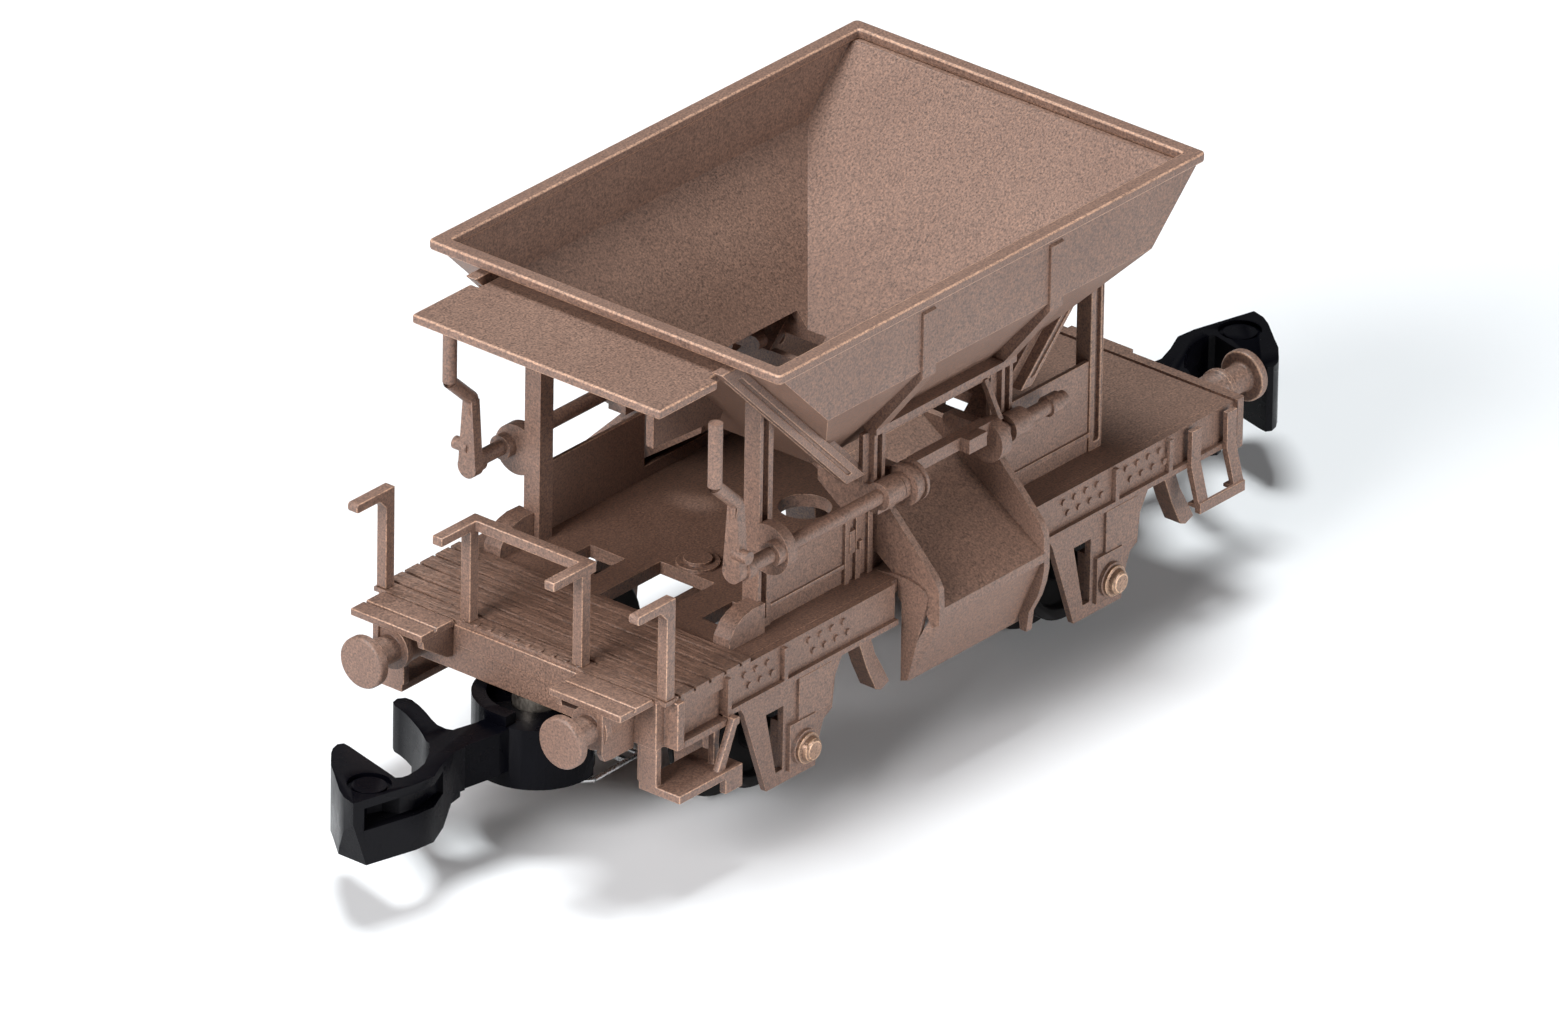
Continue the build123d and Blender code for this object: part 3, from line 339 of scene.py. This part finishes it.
def lathe_y(mesh, x, z, side, profile, steps=24):
    """A closed turned shape about a crossways axis; profile gives (distance from the middle
    plane, radius)."""
    turn = [2 * math.pi * k / steps for k in range(steps)]
    rings = [[mesh.verts.new(((x + radius * math.cos(a)) * MM, side * y * MM,
                              (z + radius * math.sin(a)) * MM)) for a in turn]
             for y, radius in profile]
    for low, high in zip(rings, rings[1:]):
        for k in range(steps):
            mesh.faces.new((low[k], low[k - 1], high[k - 1], high[k]))
    mesh.faces.new(rings[0])
    mesh.faces.new(rings[-1])
    bmesh.ops.recalc_face_normals(mesh, faces=mesh.faces)


def slab(mesh, side, x0, x1, inner, outer, z0, z1):
    """A flat plate between two distances from the middle plane, drafted as a moulding is."""
    corners = [[mesh.verts.new((x * MM, side * y * MM, z * MM)) for x, z in
                ((x0 + d, z0 + d), (x1 - d, z0 + d), (x1 - d, z1 - d), (x0 + d, z1 - d))]
               for y, d in ((inner, 0.0), (outer, DRAFT))]
    faces = [mesh.faces.new(ring) for ring in corners]
    for k in range(4):
        faces.append(mesh.faces.new((corners[0][k], corners[0][k - 1],
                                     corners[1][k - 1], corners[1][k])))
    bmesh.ops.recalc_face_normals(mesh, faces=faces)


def axle_cap(end, hand, side):
    """The stepped cap of an axle box, bright where it has rubbed."""
    low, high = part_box(f"axle_{end}")
    x, z = (low[0] + high[0]) / 2 / MM, (low[2] + high[2]) / 2 / MM
    mesh = bmesh.new()
    lathe_y(mesh, x, z - CAP_DROP, side, CAP_PROFILE)
    piece = rounded(f"axle_cap_{end}_{hand}", mesh, CAP_WIDTH, "body_brown", "frame")
    piece.data.materials[0] = RUBBED_BROWN


def sheet_hinge(hand, side):
    """The small hinge on the platform side of each side sheet: plate, knuckle and two straps."""
    mesh = bmesh.new()
    for x0, x1, outer, z0, z1 in HINGE_SLABS:
        slab(mesh, side, x0, x1, HINGE_BACK, outer, z0, z1)
    rounded(f"sheet_hinge_{hand}", mesh, HINGE_WIDTH, "body_brown", "frame")


for hand, side in (("right", -1), ("left", 1)):
    sheet_hinge(hand, side)
    for end in ("front", "rear"):
        axle_cap(end, hand, side)


# ---------------------------------------------------------------- floor, light and camera
# all in metres
FLOOR_HALF_WIDTH = 2.5
FLOOR_PROFILE = ((-2.5, 0), (1.6, 0), (2.2, 0.15), (2.5, 0.8), (2.5, 2.2))      # (y, z)
FLOOR_DARK, FLOOR_LIGHT = (0.78, 0.78, 0.79), (0.81, 0.81, 0.815)

SKY_COLOUR, SKY_STRENGTH = (0.97, 0.98, 1.0, 1), 0.03
LAMPS_AIM = (0, 0, 0.01)
LAMPS = (                               # (name, place, width, watts, tint)
    ("key", (-0.68, 0.02, 0.37), 0.42, 7.6, (0.99, 0.99, 1.0)),
    ("near_side", (0.12, -0.72, 0.2), 0.34, 3.3, (0.98, 0.99, 1.0)),
    ("top", (0.02, 0.1, 0.8), 0.3, 6.2, (0.93, 0.98, 1.0)),
)

# the photograph's camera, fitted to points of the car and the rails
AZIMUTH = math.radians(-50.536)         # from the side view towards the platform end
ELEVATION = math.radians(27.235)
ROLL = math.radians(0.9365)
AIM = Vector((1.519, 3.0958, 5.9)) * MM
DISTANCE = 1053.44 * MM
SENSOR_WIDTH_MM, LENS_MM = 36, 573.24


def stage_floor():
    """A wide pale floor that bends up far behind, as one sheet."""
    data = bpy.data.meshes.new("floor")
    sheet = bmesh.new()
    near, far = [[sheet.verts.new((x, y, z)) for y, z in FLOOR_PROFILE]
                 for x in (-FLOOR_HALF_WIDTH, FLOOR_HALF_WIDTH)]
    for i in range(len(FLOOR_PROFILE) - 1):
        sheet.faces.new((near[i], near[i + 1], far[i + 1], far[i]))
    sheet.to_mesh(data)
    sheet.free()
    floor = bpy.data.objects.new("floor", data)
    bpy.context.scene.collection.objects.link(floor)
    mat, tree, bsdf, coord = material("pale_floor", 0.0, FLOOR_SPECULAR)
    tone = noise(tree, coord, 0.004, 2.0, 0.5)
    tree.links.new(two_tone(tree, tone, FLOOR_DARK, FLOOR_LIGHT), bsdf.inputs["Base Color"])
    bsdf.inputs["Roughness"].default_value = 0.8
    data.materials.append(mat)


def soft_light(name, place, width, watts, tint):
    """A round area lamp that points at the car."""
    lamp = bpy.data.lights.new(name, "AREA")
    lamp.shape = "DISK"
    lamp.size = width
    lamp.energy = watts
    lamp.color = tint
    holder = bpy.data.objects.new(name, lamp)
    holder.location = place
    holder.rotation_mode = "QUATERNION"
    holder.rotation_quaternion = (Vector(LAMPS_AIM) - Vector(place)).to_track_quat("-Z", "Y")
    bpy.context.scene.collection.objects.link(holder)


def studio():
    """A dim room with three round lamps: a broad key at the platform end, a weaker one on the
    near side and one overhead."""
    world = bpy.data.worlds.new("studio")
    world.use_nodes = True
    sky = world.node_tree.nodes["Background"]
    sky.inputs["Color"].default_value = SKY_COLOUR
    sky.inputs["Strength"].default_value = SKY_STRENGTH
    bpy.context.scene.world = world
    bpy.context.scene.view_settings.view_transform = "Standard"
    for lamp in LAMPS:
        soft_light(*lamp)


def photo_camera():
    """A long lens three quarters from the platform end and the near side, looking down."""
    back = Vector((math.sin(AZIMUTH) * math.cos(ELEVATION),
                   -math.cos(AZIMUTH) * math.cos(ELEVATION), math.sin(ELEVATION)))
    right = Vector((math.cos(AZIMUTH), math.sin(AZIMUTH), 0))
    up = back.cross(right)
    x_axis = right * math.cos(ROLL) + up * math.sin(ROLL)
    y_axis = up * math.cos(ROLL) - right * math.sin(ROLL)
    lens = bpy.data.cameras.new("photo_camera")
    lens.sensor_fit = "HORIZONTAL"
    lens.sensor_width = SENSOR_WIDTH_MM
    lens.lens = LENS_MM
    lens.clip_start = 0.05
    lens.clip_end = 20
    holder = bpy.data.objects.new("photo_camera", lens)
    bpy.context.scene.collection.objects.link(holder)
    turned = Matrix((x_axis, y_axis, back)).transposed().to_4x4()
    holder.matrix_world = Matrix.Translation(AIM + back * DISTANCE) @ turned
    bpy.context.scene.camera = holder


stage_floor()
studio()
photo_camera()
